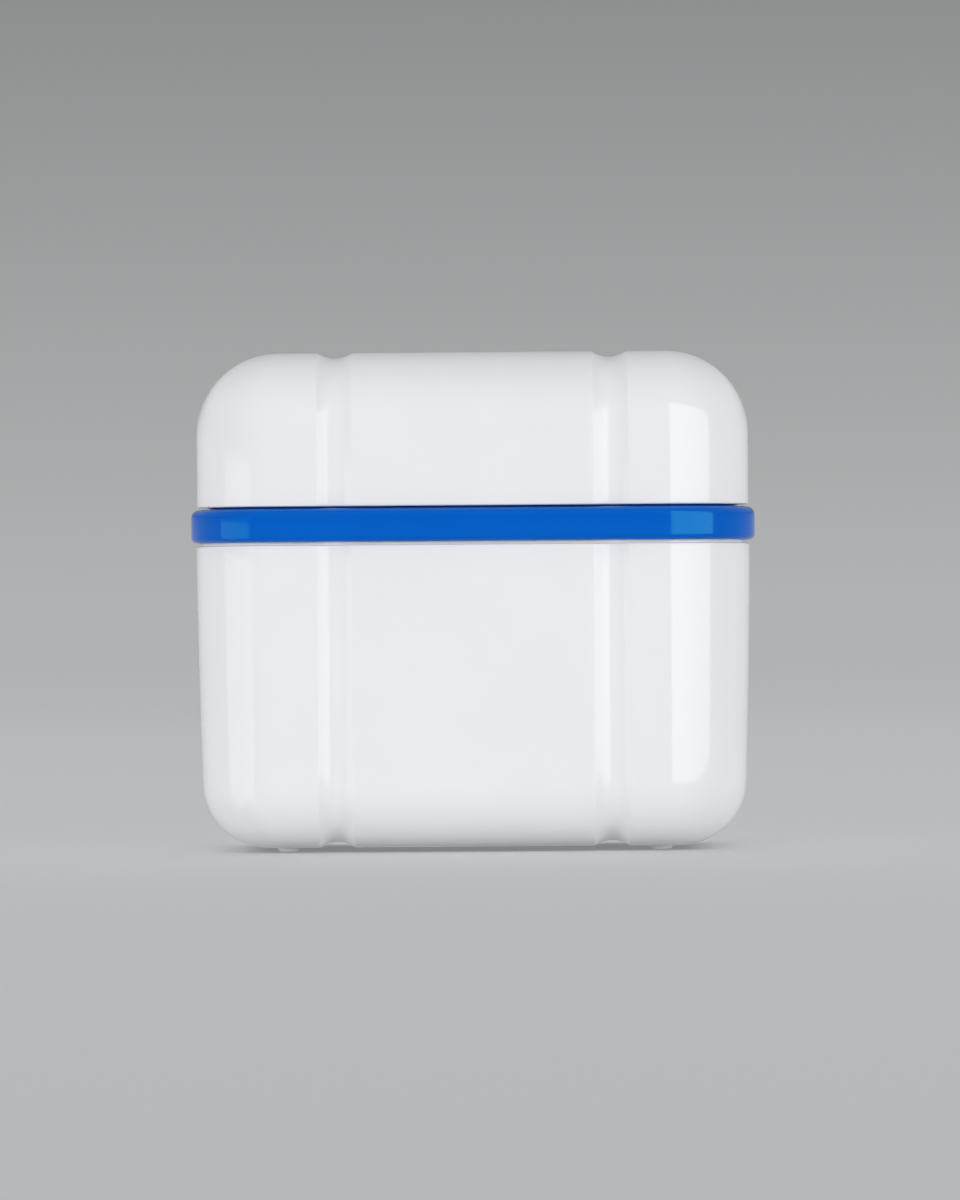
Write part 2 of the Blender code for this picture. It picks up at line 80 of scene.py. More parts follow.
GROOVE_EDGE = 0.10 * MM  # how softly the groove's edges turn
HINGE_Y = (PIN_LOW[1] + PIN_HIGH[1]) / 2
HINGE_Z = (PIN_LOW[2] + PIN_HIGH[2]) / 2
BARREL_RADIUS = 1.8 * MM
BORE_RADIUS = 1.05 * MM
LID_BARREL_HALF = 8.0 * MM
HINGE_HALF = 15.0 * MM
ARM_ROOT = 0.8 * MM  # how far the knuckles' arms run into the rear wall
ARM_EDGE = 0.45 * MM  # how far from the hinge's axis an arm's level side leaves the barrel
ARM_TURN = 120  # degrees from the rear, where an arm's slanted side leaves the barrel
FRAME_ARM_RISE = 0.7 * MM
LID_ARM_RISE = 2.6 * MM
KNUCKLE_EDGE = 0.18 * MM
PIN_EDGE = 0.15 * MM
BARREL_STEPS = 26
BORE_STEPS = 32
PIN_STEPS = 28

# Frame section: distances out from the case outline
BAND_OUT = BAND_BOX_HIGH[0] - HALF_X
TOP_ROUND = 1.3 * MM
LOW_ROUND = 0.9 * MM
TONGUE_OUT = -2.45 * MM
TONGUE_IN = -3.6 * MM
SKIRT_OUT = -WALL - GAP
SKIRT_IN = -4.9 * MM
SKIRT_LOW = BAND_BOX_LOW[2]
LEDGE_Z = FRAME_TOP - 2.3 * MM
TOP_CHANNEL_OUT = -1.1 * MM
TOP_CHANNEL_Z = FRAME_TOP - 1.2 * MM
LOW_CHANNEL_OUT = -0.6 * MM
LOW_CHANNEL_Z = FRAME_LOW + 2.0 * MM
LIP_OUT = -0.9 * MM
LIP_IN = -1.9 * MM
LID_SEAL_IN = -2.1 * MM
SEAL_ROUND = 0.25 * MM
FRAME_ROUND = 0.3 * MM
RIM_ROUND = 0.30 * MM  # rims of the tub, the lid and the basket
LIP_ROUND = 0.25 * MM

# Feet
FOOT_EDGE = 0.7 * MM
FOOT_STEM = 1.0 * MM
FOOT_HEAD = 0.85 * MM
FOOT_BEVEL = 0.1 * MM
FOOT_STEPS = 32

# Basket
BASKET_OUT = SKIRT_IN - GAP
BASKET_WALL = 1.2 * MM
BASKET_LOW = BASKET_BOX_LOW[2]
BASKET_TOP = BASKET_BOX_HIGH[2]
BASKET_FILLET = 5.0 * MM
BASKET_TAPER = 0.015
SLOT_WIDTH = 3.0 * MM
SLOT_PITCH = 7.0 * MM
WALL_SLOT_LENGTH = 24.0 * MM
WALL_SLOT_Z = 29.0 * MM
FLOOR_SLOT_LENGTH = 17.0 * MM

# Mouthguard
ARCH_HALF_WIDTH = 24.3 * MM
ARCH_LENGTH = 39.0 * MM
GUARD_WIDTH = 13.0 * MM
FRONT_NARROWING = 2.4 * MM
GUARD_OUTER_HEIGHT = 23.0 * MM
GUARD_INNER_HEIGHT = 15.0 * MM
FRONT_INNER_RISE = 2.0 * MM
SHELL_WALL = 1.5 * MM
LINER_WALL = 1.4 * MM
GUARD_TOP = GUARD_BOX_HIGH[2]
NOTCH_SPREAD = 7.0  # degrees of arch
NOTCH_DEPTH = 3.4 * MM
OUTER_END_RADIUS = 9.0 * MM
INNER_END_RADIUS = 6.0 * MM
END_EDGE = 0.5 * MM
RIB_REACH = 44.0  # degrees of arch, either side of the middle
RIB_PITCH = 8.0
BITE_PITCH = 14.0

RIB_DEPTH = 0.6 * MM
BITE_DEPTH = 0.7 * MM

# Points along the case outline
CORNER_STEPS = 16
SIDE_STEPS = 6
FRONT_STEPS = 8  # along a front without grooves

# Surroundings: they darken between the horizon and FLAG_TOP, so that pale glossy edges show
ROOM = 0.45  # brightness
ROOM_TINT = (0.98, 0.99, 1.0)
FLAG_HEIGHT = 0.14  # heights are the sine of the angle above the horizon
FLAG_TOP = 0.38
FLAG_SHADE = 0.45
FLOOR_RADIUS = 30.0
FLOOR_GLOW = 0.23  # of the surroundings' brightness, so that the far floor meets them

# Camera
CAMERA_DISTANCE = 0.95
FRAME_WIDTH = 0.1489  # what the picture spans at that distance
SENSOR_WIDTH = 36.0
CAMERA_RIGHT = 1.0 * MM
CAMERA_DROP = 0.2 * MM
CAMERA_ROLL = 0.43


# ---------------------------------------------------------------- materials

def new_material(name):
    """Return a node material, its node tree and its Principled shader."""
    material = bpy.data.materials.new(name)
    material.use_nodes = True
    tree = material.node_tree
    return material, tree, tree.nodes["Principled BSDF"]


def node(tree, kind, inputs=None, **settings):
    """Add a shader node; inputs maps socket names to values or to other nodes' outputs."""
    added = tree.nodes.new(kind)
    for key, value in settings.items():
        setattr(added, key, value)
    for key, value in (inputs or {}).items():
        if isinstance(value, bpy.types.NodeSocket):
            tree.links.new(value, added.inputs[key])
        else:
            added.inputs[key].default_value = value
    return added


def object_noise(tree, scale, detail=4.0, roughness=0.55):
    """Return the value output of a noise in object space."""
    place = node(tree, "ShaderNodeTexCoord")
    return node(tree, "ShaderNodeTexNoise", {"Vector": place.outputs["Object"], "Scale": scale,
                                             "Detail": detail, "Roughness": roughness}).outputs["Fac"]


def spread(tree, value, low, high, to_low, to_high):
    """Map one range of values to another, clamped."""
    mapped = node(tree, "ShaderNodeMapRange", {"Value": value, "From Min": low, "From Max": high,
                                               "To Min": to_low, "To Max": to_high})
    return mapped.outputs["Result"]


def mix_colour(tree, factor, first, second):
    """Mix two colours by a factor."""
    mix = node(tree, "ShaderNodeMix", {0: factor}, data_type="RGBA")
    for socket, colour in ((mix.inputs[6], first), (mix.inputs[7], second)):
        if isinstance(colour, bpy.types.NodeSocket):
            tree.links.new(colour, socket)
        else:
            socket.default_value = (*colour, 1.0)
    return mix.outputs[2]


def moulded_plastic(name, colour, shade, roughness, speck=None, wave=0.012):
    """Glossy moulded plastic: slow colour drift, polish that varies, fine scratches and rare specks."""
    material, tree, shader = new_material(name)
    drift = object_noise(tree, 45.0, detail=3.0)
    base = mix_colour(tree, spread(tree, drift, 0.35, 0.65, 0.0, 1.0), colour, shade)
    if speck:
        place = node(tree, "ShaderNodeTexCoord")
        cells = node(tree, "ShaderNodeTexVoronoi", {"Vector": place.outputs["Object"], "Scale": 210.0,
                                                    "Randomness": 1.0})
        rare = node(tree, "ShaderNodeSeparateColor", {"Color": cells.outputs["Color"]})
        chosen = spread(tree, rare.outputs["Red"], 0.84, 0.85, 0.0, 1.0)
        dot = spread(tree, cells.outputs["Distance"], 0.035, 0.06, 1.0, 0.0)
        both = node(tree, "ShaderNodeMath", {0: chosen, 1: dot}, operation="MULTIPLY").outputs[0]
        base = mix_colour(tree, spread(tree, both, 0.0, 1.0, 0.0, 0.7), base, speck)
    tree.links.new(base, shader.inputs["Base Color"])
    polish = object_noise(tree, 260.0, detail=5.0)
    tree.links.new(spread(tree, polish, 0.3, 0.7, roughness * 0.8, roughness * 1.25),
                   shader.inputs["Roughness"])
    place = node(tree, "ShaderNodeTexCoord")
    stretch = node(tree, "ShaderNodeMapping", {"Vector": place.outputs["Object"],
                                               "Rotation": (0.5, 0.3, 0.9), "Scale": (1.0, 1.0, 26.0)})
    scratches = node(tree, "ShaderNodeTexNoise", {"Vector": stretch.outputs["Vector"], "Scale": 480.0,
                                                  "Detail": 2.0}).outputs["Fac"]
    scratch = node(tree, "ShaderNodeBump", {"Height": spread(tree, scratches, 0.62, 0.75, 0.0, 1.0),
                                            "Strength": 0.03, "Distance": 0.00002})
    swell = object_noise(tree, 55.0, detail=1.0)
    bump = node(tree, "ShaderNodeBump", {"Height": swell, "Strength": 1.0, "Distance": wave * MM,
                                         "Normal": scratch.outputs["Normal"]})
    tree.links.new(bump.outputs["Normal"], shader.inputs["Normal"])
    shader.inputs["IOR"].default_value = 1.49
    return material, shader


def make_materials():
    """Return the materials by name."""
    white, shader = moulded_plastic("moulded_white", (0.80, 0.80, 0.812), (0.785, 0.787, 0.80), 0.03,
                                    speck=(0.30, 0.27, 0.24), wave=0.020)
    shader.inputs["Subsurface Weight"].default_value = 0.06
    shader.inputs["Subsurface Radius"].default_value = (1.0, 1.0, 1.0)
    shader.inputs["Subsurface Scale"].default_value = 0.0008
    blue, shader = moulded_plastic("moulded_blue", (0.0, 0.098, 0.535), (0.0, 0.092, 0.515), 0.09,
                                   wave=0.05)
    shader.inputs["Specular Tint"].default_value = (0.16, 1.0, 0.75, 1.0)
    basket, _ = moulded_plastic("basket_blue", (0.0, 0.125, 0.55), (0.0, 0.115, 0.52), 0.24)
    foot, _ = moulded_plastic("foot_white", (0.80, 0.80, 0.80), (0.76, 0.76, 0.77), 0.3)
    silicone, tree, shader = new_material("milky_silicone")
    cloud = object_noise(tree, 180.0)
    milky = mix_colour(tree, cloud, (0.66, 0.70, 0.74), (0.58, 0.64, 0.70))
    tree.links.new(milky, shader.inputs["Base Color"])
    tree.links.new(spread(tree, cloud, 0.3, 0.7, 0.38, 0.55), shader.inputs["Roughness"])
    shader.inputs["Subsurface Weight"].default_value = 0.3
    shader.inputs["Subsurface Scale"].default_value = 0.001
    steel, tree, shader = new_material("drawn_steel")
    place = node(tree, "ShaderNodeTexCoord")
    lines = node(tree, "ShaderNodeMapping", {"Vector": place.outputs["Object"], "Scale": (0.03, 1.0, 1.0)})
    drawn = node(tree, "ShaderNodeTexNoise", {"Vector": lines.outputs["Vector"],
                                              "Scale": 6000.0}).outputs["Fac"]
    grey = mix_colour(tree, drawn, (0.62, 0.62, 0.63), (0.50, 0.50, 0.52))
    tree.links.new(grey, shader.inputs["Base Color"])
    tree.links.new(spread(tree, drawn, 0.3, 0.7, 0.2, 0.4), shader.inputs["Roughness"])
    shader.inputs["Metallic"].default_value = 1.0
    guard, tree, shader = new_material("guard_blue_rubber")
    cloud = object_noise(tree, 120.0)
    rubber = mix_colour(tree, cloud, (0.004, 0.060, 0.34), (0.010, 0.090, 0.42))
    tree.links.new(rubber, shader.inputs["Base Color"])
    tree.links.new(spread(tree, object_noise(tree, 500.0), 0.3, 0.7, 0.30, 0.48), shader.inputs["Roughness"])
    grain = node(tree, "ShaderNodeBump", {"Height": object_noise(tree, 2600.0), "Strength": 0.35,
                                          "Distance": 0.00003})
    tree.links.new(grain.outputs["Normal"], shader.inputs["Normal"])
    shader.inputs["Subsurface Weight"].default_value = 0.12
    shader.inputs["Subsurface Scale"].default_value = 0.0012
    shader.inputs["Subsurface Radius"].default_value = (0.2, 0.5, 1.0)
    liner, tree, shader = new_material("guard_milky_gel")
    cloud = object_noise(tree, 150.0)
    gel = mix_colour(tree, cloud, (0.74, 0.80, 0.86), (0.66, 0.75, 0.84))
    tree.links.new(gel, shader.inputs["Base Color"])
    tree.links.new(spread(tree, cloud, 0.3, 0.7, 0.14, 0.30), shader.inputs["Roughness"])
    ripple = node(tree, "ShaderNodeBump", {"Height": object_noise(tree, 420.0), "Strength": 0.5,
                                           "Distance": 0.00006})
    tree.links.new(ripple.outputs["Normal"], shader.inputs["Normal"])
    shader.inputs["Subsurface Weight"].default_value = 0.5
    shader.inputs["Subsurface Scale"].default_value = 0.002
    shader.inputs["Coat Weight"].default_value = 0.3
    return {"white": white, "blue": blue, "basket": basket, "foot": foot,
            "silicone": silicone, "steel": steel, "guard": guard, "liner": liner}


# ---------------------------------------------------------------- shapes

def new_object(name, bm):
    """Turn a bmesh into an object in the scene."""
    bmesh.ops.recalc_face_normals(bm, faces=bm.faces)
    mesh = bpy.data.meshes.new(name)
    bm.to_mesh(mesh)
    bm.free()
    thing = bpy.data.objects.new(name, mesh)
    bpy.context.scene.collection.objects.link(thing)
    return thing


def add_piece(name, bm, materials, body, replaced, sharp=40):
    """Make an object from a bmesh, ride it on its body and let it stand for CAD nodes."""
    piece = new_object(name, bm)
    for material in materials:
        piece.data.materials.append(material)
    piece.data.shade_smooth()
    piece.data.set_sharp_from_angle(angle=math.radians(sharp))
    if body:
        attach(piece, body)
    if replaced:
        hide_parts(*replaced)
    return piece


def arc(centre, radius, start, end, steps):
    """Return points on an arc, with angles in degrees."""
    angles = [math.radians(start + (end - start) * i / steps) for i in range(steps + 1)]
    return [(centre[0] + radius * math.cos(angle), centre[1] + radius * math.sin(angle)) for angle in angles]


def stations(grooved):
    """Return the x places of the points along the front, denser across the grooves."""
    reach = HALF_X - CORNER
    if not grooved:
        return even(-reach, reach, FRONT_STEPS)
    across = [0.0, 0.5, 1.0, 1.5, 1.9, 2.2, 2.4, 2.52, 2.6, 2.68, 2.76, 2.88, 3.1, 3.5]
    places = {0.0, 5.0 * MM, 10.0 * MM, 14.5 * MM, 27.0 * MM, reach}
    for step in across:
        places.add(GROOVE_X + step * MM)
        places.add(GROOVE_X - step * MM)
    return sorted({-place for place in places} | places)


def outline(offset, along):
    """Return the case outline moved outwards by offset: (x, y, outward y of the normal) points."""
    centre_x = HALF_X - CORNER
    centre_y = HALF_Y - CORNER
    radius = CORNER + offset
    points = [(x, -centre_y - radius, -1.0) for x in along]
    for turn in range(4):
        cx = centre_x if turn in (0, 1) else -centre_x
        cy = -centre_y if turn in (0, 3) else centre_y
        start = -90 + 90 * turn
        corner = arc((cx, cy), radius, start, start + 90, CORNER_STEPS)
        points += [(x, y, 0.0) for x, y in corner[1:-1]]
        if turn in (0, 2):
            side = 1 if turn == 0 else -1
            places = [side * (-centre_y + 2 * centre_y * i / SIDE_STEPS) for i in range(SIDE_STEPS + 1)]
            points += [(side * (centre_x + radius), y, 0.0) for y in places]
        if turn == 1:
            points += [(x, centre_y + radius, 1.0) for x in reversed(along)]
    return points


def groove_depth(x):
    """How deep the grooves are at x, with softly turned edges."""
    away = abs(abs(x) - GROOVE_X)
    if away >= GROOVE_RADIUS:
        return 0.0
    depth = math.sqrt(GROOVE_RADIUS ** 2 - away ** 2) - (GROOVE_RADIUS - GROOVE_DEPTH)
    return (depth + math.sqrt(depth ** 2 + GROOVE_EDGE ** 2)) / 2


def add_level(bm, along, offset, height, tilt=None):
    """Add one loop of points. tilt is the wall's lean in degrees where the grooves are cut into it."""
    loop = []
    for x, y, outward in outline(offset, along):
        point = Vector((x, CASE_Y + y, height))
        if tilt is not None and outward:
            depth = groove_depth(x)
            lean = math.radians(tilt)
            point -= Vector((0, outward * math.cos(lean), math.sin(lean))) * depth
        loop.append(bm.verts.new(point))
    return loop


def bridge(bm, loops, closed=False):
    """Join loops with faces."""
    pairs = list(zip(loops, loops[1:]))
    if closed:
        pairs.append((loops[-1], loops[0]))
    for first, second in pairs:
        for i in range(len(first)):
            bm.faces.new((first[i - 1], first[i], second[i], second[i - 1]))


def cap(bm, loop, along):
    """Close a loop with strips from front to rear and one face at each end."""
    count = len(along)
    rear_start = count + 2 * (CORNER_STEPS - 1) + SIDE_STEPS + 1
    front = loop[:count]
    rear = list(reversed(loop[rear_start:rear_start + count]))
    for i in range(count - 1):
        bm.faces.new((front[i], front[i + 1], rear[i + 1], rear[i]))
    bm.faces.new(loop[count - 1:rear_start + 1])
    bm.faces.new(loop[rear_start + count - 1:] + loop[:1])


def tub_inset(height):
    """How far the tub's walls have come in at a height."""
    depth = max(TUB_TOP - height, 0.0)
    return TAPER * depth + BULGE * depth ** 2


def even(start, end, steps):
    """Return evenly spaced values, both ends included."""
    return [start + (end - start) * i / steps for i in range(steps + 1)]


def make_tub(materials):
    """The white tub in one loft: floor, grooved walls, rounded shoulder, lip, inner walls, inner floor."""
    bm = bmesh.new()
    along = stations(True)
    fillet_z = STAND + TUB_FILLET
    foot = tub_inset(fillet_z)
    outer = []
    for angle in even(-90, 0, 14):
        lean = math.radians(angle)
        offset = -foot - TUB_FILLET * (1 - math.cos(lean))
        outer.append(add_level(bm, along, offset, fillet_z + TUB_FILLET * math.sin(lean), angle))
    soft = RIM_ROUND
    for height in even(fillet_z, TUB_TOP - soft, 10)[1:]:
        outer.append(add_level(bm, along, -tub_inset(height), height, 0))
    for angle in even(0, 90, 4)[1:]:
        lean = math.radians(angle)
        offset = -soft * (1 - math.cos(lean))
        outer.append(add_level(bm, along, offset, TUB_TOP - soft + soft * math.sin(lean), 0))
    top = TUB_TOP + LIP_RISE
    soft = LIP_ROUND
    inner = [add_level(bm, along, LIP_OUT, TUB_TOP), add_level(bm, along, LIP_OUT, top - soft)]
    inner += [add_level(bm, along, offset, height)
              for offset, height in arc((LIP_OUT - soft, top - soft), soft, 0, 90, 3)[1:]]
    inner += [add_level(bm, along, offset, height)
              for offset, height in arc((LIP_IN + soft, top - soft), soft, 90, 180, 3)]
    inner.append(add_level(bm, along, -WALL, TUB_TOP - 0.1 * MM))
    for height in even(TUB_TOP - MM, fillet_z, 4):
        inner.append(add_level(bm, along, -WALL - tub_inset(height), height))
    inner_fillet = TUB_FILLET - WALL
    for angle in even(0, -90, 8)[1:]:
        lean = math.radians(angle)
        offset = -foot - WALL - inner_fillet * (1 - math.cos(lean))
        inner.append(add_level(bm, along, offset, fillet_z + inner_fillet * math.sin(lean)))
    bridge(bm, outer + inner)
    cap(bm, outer[0], along)
    cap(bm, inner[-1], along)
    add_piece("tub_white", bm, [materials["white"]], "base", ["base_shell"], sharp=60)


def make_lid(materials):
    """The white lid in one loft, from the inner top out over the rim to the outer top."""
    bm = bmesh.new()
    along = stations(True)
    fillet_z = LID_TOP - LID_FILLET
    outer = []
    for angle in even(90, 0, 16):
        lean = math.radians(angle)
        offset = -LID_INSET - LID_FILLET * (1 - math.cos(lean))
        outer.append(add_level(bm, along, offset, fillet_z + LID_FILLET * math.sin(lean), angle))
    soft = RIM_ROUND
    for height in even(fillet_z, LID_LOW + soft, 5)[1:]:
        outer.append(add_level(bm, along, -LID_INSET, height, 0))
    for angle in even(0, -90, 4)[1:]:
        lean = math.radians(angle)
        offset = -LID_INSET - soft * (1 - math.cos(lean))
        outer.append(add_level(bm, along, offset, LID_LOW + soft + soft * math.sin(lean), 0))
    inside = -LID_INSET - WALL
    inner = [add_level(bm, along, offset, height)
             for offset, height in arc((inside + soft, LID_LOW + soft), soft, -90, -180, 3)]
    for height in even(LID_LOW + soft, fillet_z, 4)[1:]:
        inner.append(add_level(bm, along, inside, height))
    inner_fillet = LID_FILLET - WALL
    for angle in even(0, 90, 10)[1:]:
        lean = math.radians(angle)
        offset = inside - inner_fillet * (1 - math.cos(lean))
        inner.append(add_level(bm, along, offset, fillet_z + inner_fillet * math.sin(lean)))
    bridge(bm, outer + inner)
    cap(bm, outer[0], along)
    cap(bm, inner[-1], along)
    add_piece("lid_white", bm, [materials["white"]], "lid", ["lid_shell"], sharp=60)


def sweep(section):
    """Sweep a closed section of (distance from the outline, height) points round the case."""
    bm = bmesh.new()
    along = stations(False)
    bridge(bm, [add_level(bm, along, offset, height) for offset, height in section], closed=True)
    return bm


def cut(bm, tools):
    """Cut bmeshes out of a bmesh, one after another, and return the result as a new bmesh."""
    target = new_object("cut_target", bm)
    for tool in tools:
        bars = new_object("cut_tool", tool)
        modifier = target.modifiers.new("cut", "BOOLEAN")
        modifier.operation = "DIFFERENCE"
        modifier.solver = "EXACT"
        modifier.object = bars
        bpy.context.view_layer.update()
        evaluated = target.evaluated_get(bpy.context.evaluated_depsgraph_get())
        result = bpy.data.meshes.new_from_object(evaluated)
        target.modifiers.remove(modifier)
        target.data = result
        bpy.data.objects.remove(bars, do_unlink=True)
    done = bmesh.new()
    done.from_mesh(target.data)
    bpy.data.objects.remove(target, do_unlink=True)
    return done


def softened(points, radius, steps=3):
    """Round each corner of a closed section by a small radius."""
    rounded = []
    for i, corner in enumerate(points):
        corner = Vector(corner)
        before = Vector(points[i - 1]) - corner
        after = Vector(points[(i + 1) % len(points)]) - corner
        reach = min(radius, before.length * 0.45, after.length * 0.45)
        start = corner + before.normalized() * reach
        end = corner + after.normalized() * reach
        for j in range(steps + 1):
            t = j / steps
            rounded.append(tuple(start * (1 - t) ** 2 + corner * 2 * t * (1 - t) + end * t ** 2))
    return rounded


def make_frame(materials):
    """The blue frame: band, tongue, skirt and ledge as one ring, with a notch for the lid's knuckle."""
    band_low = arc((BAND_OUT - LOW_ROUND, FRAME_LOW + LOW_ROUND), LOW_ROUND, -90, 0, 8)
    band_top = arc((BAND_OUT - TOP_ROUND, FRAME_TOP - TOP_ROUND), TOP_ROUND, 0, 90, 8)
    tongue_top = FRAME_TOP + TONGUE_RISE
    rest = [(TOP_CHANNEL_OUT, FRAME_TOP), (TOP_CHANNEL_OUT, TOP_CHANNEL_Z), (TONGUE_OUT, TOP_CHANNEL_Z),
            (TONGUE_OUT, tongue_top), (TONGUE_IN, tongue_top), (TONGUE_IN, LEDGE_Z), (SKIRT_IN, LEDGE_Z),
            (SKIRT_IN, SKIRT_LOW), (SKIRT_OUT, SKIRT_LOW), (SKIRT_OUT, LOW_CHANNEL_Z),
            (LOW_CHANNEL_OUT, LOW_CHANNEL_Z), (LOW_CHANNEL_OUT, FRAME_LOW)]
    anchors = [band_top[-1]] + rest + [band_low[0]]
    inside = softened(anchors, FRAME_ROUND)[4:-4]
    reach = LID_BARREL_HALF + GAP
    rear = CASE_Y + HALF_Y
    notch = bmesh.new()
    size = Vector((2 * reach, 4 * BAND_OUT, 2 * (FRAME_TOP - FRAME_LOW)))
    place = Matrix.Translation((0, rear + size.y / 2, (FRAME_LOW + FRAME_TOP) / 2))
    bmesh.ops.create_cube(notch, size=1.0, matrix=place @ Matrix.Diagonal((*size, 1.0)))
    bm = cut(sweep(band_low + band_top + inside), [notch])
    add_piece("frame_blue", bm, [materials["blue"]], "tray", ["middle_frame"], sharp=50)


def make_knuckle(name, low, high, arm, material, body, replaced):
    """Extrude a hinge knuckle along X: a barrel with a bore, and an arm that runs into the wall."""
    curve = bpy.data.curves.new(name, "CURVE")
    curve.dimensions = "2D"
    curve.fill_mode = "BOTH"
    curve.extrude = (high - low) / 2 - KNUCKLE_EDGE
    curve.bevel_depth = KNUCKLE_EDGE
    curve.bevel_resolution = 2
    curve.offset = -KNUCKLE_EDGE
    bore = arc((HINGE_Y, HINGE_Z), BORE_RADIUS, 0, 360, BORE_STEPS)[:-1]
    for points in (arm, bore):
        spline = curve.splines.new("POLY")
        spline.points.add(len(points) - 1)
        spline.use_cyclic_u = True
        for spline_point, (y, z) in zip(spline.points, points):
            spline_point.co = (y, z, 0.0, 1.0)
    holder = bpy.data.objects.new(name, curve)
    bpy.context.scene.collection.objects.link(holder)
    holder.matrix_world = Matrix(((0, 0, 1, (low + high) / 2), (1, 0, 0, 0), (0, 1, 0, 0), (0, 0, 0, 1)))
    bpy.context.view_layer.update()
    evaluated = holder.evaluated_get(bpy.context.evaluated_depsgraph_get())
    bm = bmesh.new()
    bm.from_mesh(evaluated.to_mesh())
    bm.transform(holder.matrix_world)
    bmesh.ops.remove_doubles(bm, verts=bm.verts, dist=GAP / 200)
    bpy.data.objects.remove(holder, do_unlink=True)
    bpy.data.curves.remove(curve)
    add_piece(name, bm, [material], body, replaced, sharp=35)


def make_hinge(materials):
    """Two blue knuckles on the frame, a white one on the lid, and the pin through them."""
    level = 180 - math.degrees(math.asin(ARM_EDGE / BARREL_RADIUS))
    barrel = arc((HINGE_Y, HINGE_Z), BARREL_RADIUS, 360 - level, -ARM_TURN, BARREL_STEPS)
    root = CASE_Y + HALF_Y - ARM_ROOT
    frame_arm = [(root, FRAME_TOP - GAP)] + barrel + [(root, FRAME_LOW + FRAME_ARM_RISE)]
    for side, word in ((-1, "left"), (1, "right")):
        ends = sorted((side * (LID_BARREL_HALF + GAP), side * HINGE_HALF))
        make_knuckle(f"frame_knuckle_{word}", ends[0], ends[1], frame_arm, materials["blue"],
                     "tray", ["middle_frame"])
    barrel = arc((HINGE_Y, HINGE_Z), BARREL_RADIUS, level - 360, ARM_TURN, BARREL_STEPS)
    lid_arm = [(root, LID_LOW + GAP)] + barrel + [(root, LID_LOW + LID_ARM_RISE)]
    half = LID_BARREL_HALF - GAP / 3
    make_knuckle("lid_knuckle", -half, half, lid_arm, materials["white"],
                 "lid", ["lid_shell"])
    bm = bmesh.new()
    radius = (PIN_HIGH[2] - PIN_LOW[2]) / 2
    profile = [(0.0, PIN_LOW[0]), (radius - PIN_EDGE, PIN_LOW[0]), (radius, PIN_LOW[0] + PIN_EDGE),
               (radius, PIN_HIGH[0] - PIN_EDGE), (radius - PIN_EDGE, PIN_HIGH[0]), (0.0, PIN_HIGH[0])]
    lying = Matrix(((0, 0, 1, 0), (1, 0, 0, HINGE_Y), (0, 1, 0, HINGE_Z), (0, 0, 0, 1)))
    turn_profile(bm, profile, PIN_STEPS, lying)
    add_piece("pin_steel", bm, [materials["steel"]], "tray", ["hinge_pin"], sharp=35)


def turn_profile(bm, profile, steps, matrix):
    """Turn a (radius, height) profile about a matrix's local Z axis, where it starts and ends."""
    turns = [math.tau * i / steps for i in range(steps)]
    rings = [[bm.verts.new((radius * math.cos(turn), radius * math.sin(turn), height)) for turn in turns]
             for radius, height in profile[1:-1]]
    bridge(bm, rings)
    for (_, height), ring in ((profile[0], rings[0]), (profile[-1], rings[-1])):
        centre = bm.verts.new((0, 0, height))
        for i in range(steps):
            bm.faces.new((ring[i - 1], ring[i], centre))
    bm.transform(matrix)


def make_feet(materials):
    """Four turned feet with softly rounded rims."""
    for word in ("front_left", "front_right", "rear_left", "rear_right"):
        low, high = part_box(f"foot_{word}")
        radius = (high[0] - low[0]) / 2
        profile = [(0.0, 0.0)] + arc((radius - FOOT_EDGE, FOOT_EDGE), FOOT_EDGE, -90, 0, 8)
        profile += [(radius, FOOT_HEAD - FOOT_BEVEL), (radius - FOOT_BEVEL, FOOT_HEAD)]
        profile += [(FOOT_STEM, FOOT_HEAD), (FOOT_STEM, high[2] - FOOT_BEVEL)]
        profile += [(FOOT_STEM - FOOT_BEVEL, high[2]), (0.0, high[2])]
        bm = bmesh.new()
        centre = Matrix.Translation(((low[0] + high[0]) / 2, (low[1] + high[1]) / 2, low[2]))
        turn_profile(bm, profile, FOOT_STEPS, centre)
        add_piece(f"foot_{word}_turned", bm, [materials["foot"]], "base", [f"foot_{word}"])


def make_gaskets(materials):
    """Rounded silicone cords in the frame's two channels."""
    low = TUB_TOP + LIP_RISE + GAP
    high = LOW_CHANNEL_Z - GAP
    seal = [(LIP_OUT, low), (LIP_OUT, high), (LIP_IN, high), (LIP_IN, low)]
    bm = sweep(softened(seal, SEAL_ROUND, 4))
    add_piece("seal_tub", bm, [materials["silicone"]], "tray", ["base_gasket"], sharp=50)
    out = TOP_CHANNEL_OUT - GAP
    seal = [(out, TOP_CHANNEL_Z + GAP), (out, FRAME_TOP),
            (LID_SEAL_IN, FRAME_TOP), (LID_SEAL_IN, TOP_CHANNEL_Z + GAP)]
    bm = sweep(softened(seal, SEAL_ROUND, 4))
    add_piece("seal_lid", bm, [materials["silicone"]], "tray", ["lid_gasket"], sharp=50)


def add_slot(bm, centre, size, axis):
    """Add a bar with round ends, to cut a slot; axis is the direction that it cuts through."""
    part = bmesh.new()
    matrix = Matrix.Translation(centre) @ Matrix.Diagonal((*size, 1.0))
    bmesh.ops.create_cube(part, size=1.0, matrix=matrix)
    edges = [edge for edge in part.edges if abs(edge.verts[0].co[axis] - edge.verts[1].co[axis]) > GAP]
    bmesh.ops.bevel(part, geom=edges, offset=SLOT_WIDTH / 2 * 0.99, segments=8, profile=0.5,
                    affect="EDGES", clamp_overlap=False)
    mesh = bpy.data.meshes.new("slot")
    part.to_mesh(mesh)
    part.free()
    bm.from_mesh(mesh)
    bpy.data.meshes.remove(mesh)


